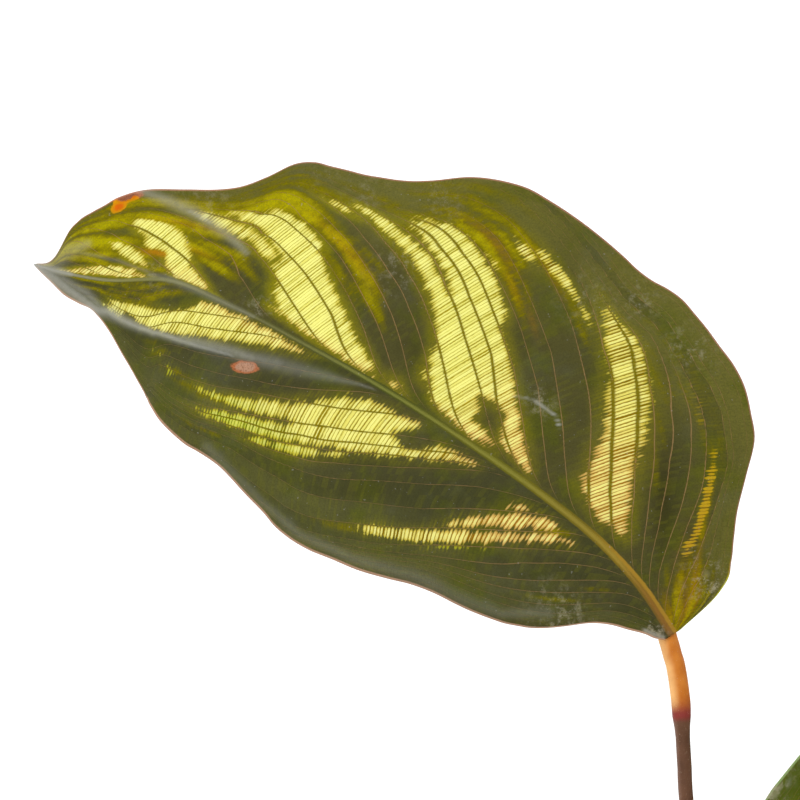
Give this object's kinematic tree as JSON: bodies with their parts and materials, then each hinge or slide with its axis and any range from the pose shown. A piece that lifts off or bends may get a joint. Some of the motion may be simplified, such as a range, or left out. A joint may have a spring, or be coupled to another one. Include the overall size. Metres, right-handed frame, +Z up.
{
  "type": "potted calathea",
  "caption": "House plant with broad patterned leaves on long thin petioles, rooted in soil in a round tapered clay pot with a rim band and drain holes.",
  "frame": {"origin": "centre of the pot's base, on the surface it stands on", "axes": "+Z up, +X to the right and +Y away from a viewer who faces the large leaf"},
  "size_m": [0.4588, 0.4525, 0.5059],
  "materials": {
    "pot": "matt unglazed terracotta with faint bloom",
    "soil": "rough moist potting mix",
    "leaf_blade": "satin leaf, light passes through pale panels between dark feathers",
    "young_leaf": "satin rolled young leaf",
    "petiole": "satin purple-brown stem with an orange joint under the blade"
  },
  "bodies": {
    "root": {"pot": "pot", "soil": "soil", "blade_01": "leaf_blade", "blade_02": "leaf_blade", "blade_03": "leaf_blade", "blade_04": "leaf_blade", "blade_05": "leaf_blade", "blade_06": "leaf_blade", "blade_07": "leaf_blade", "blade_08": "leaf_blade", "blade_09": "leaf_blade", "blade_10": "leaf_blade", "blade_11": "leaf_blade", "blade_12": "leaf_blade", "blade_13": "leaf_blade", "blade_14": "leaf_blade", "blade_15": "leaf_blade", "blade_16": "leaf_blade", "blade_young": "young_leaf", "petiole_01": "petiole", "petiole_02": "petiole", "petiole_03": "petiole", "petiole_04": "petiole", "petiole_05": "petiole", "petiole_06": "petiole", "petiole_07": "petiole", "petiole_08": "petiole", "petiole_09": "petiole", "petiole_10": "petiole", "petiole_11": "petiole", "petiole_12": "petiole", "petiole_13": "petiole", "petiole_14": "petiole", "petiole_15": "petiole", "petiole_16": "petiole", "petiole_young": "petiole"}
  },
  "joints": []
}
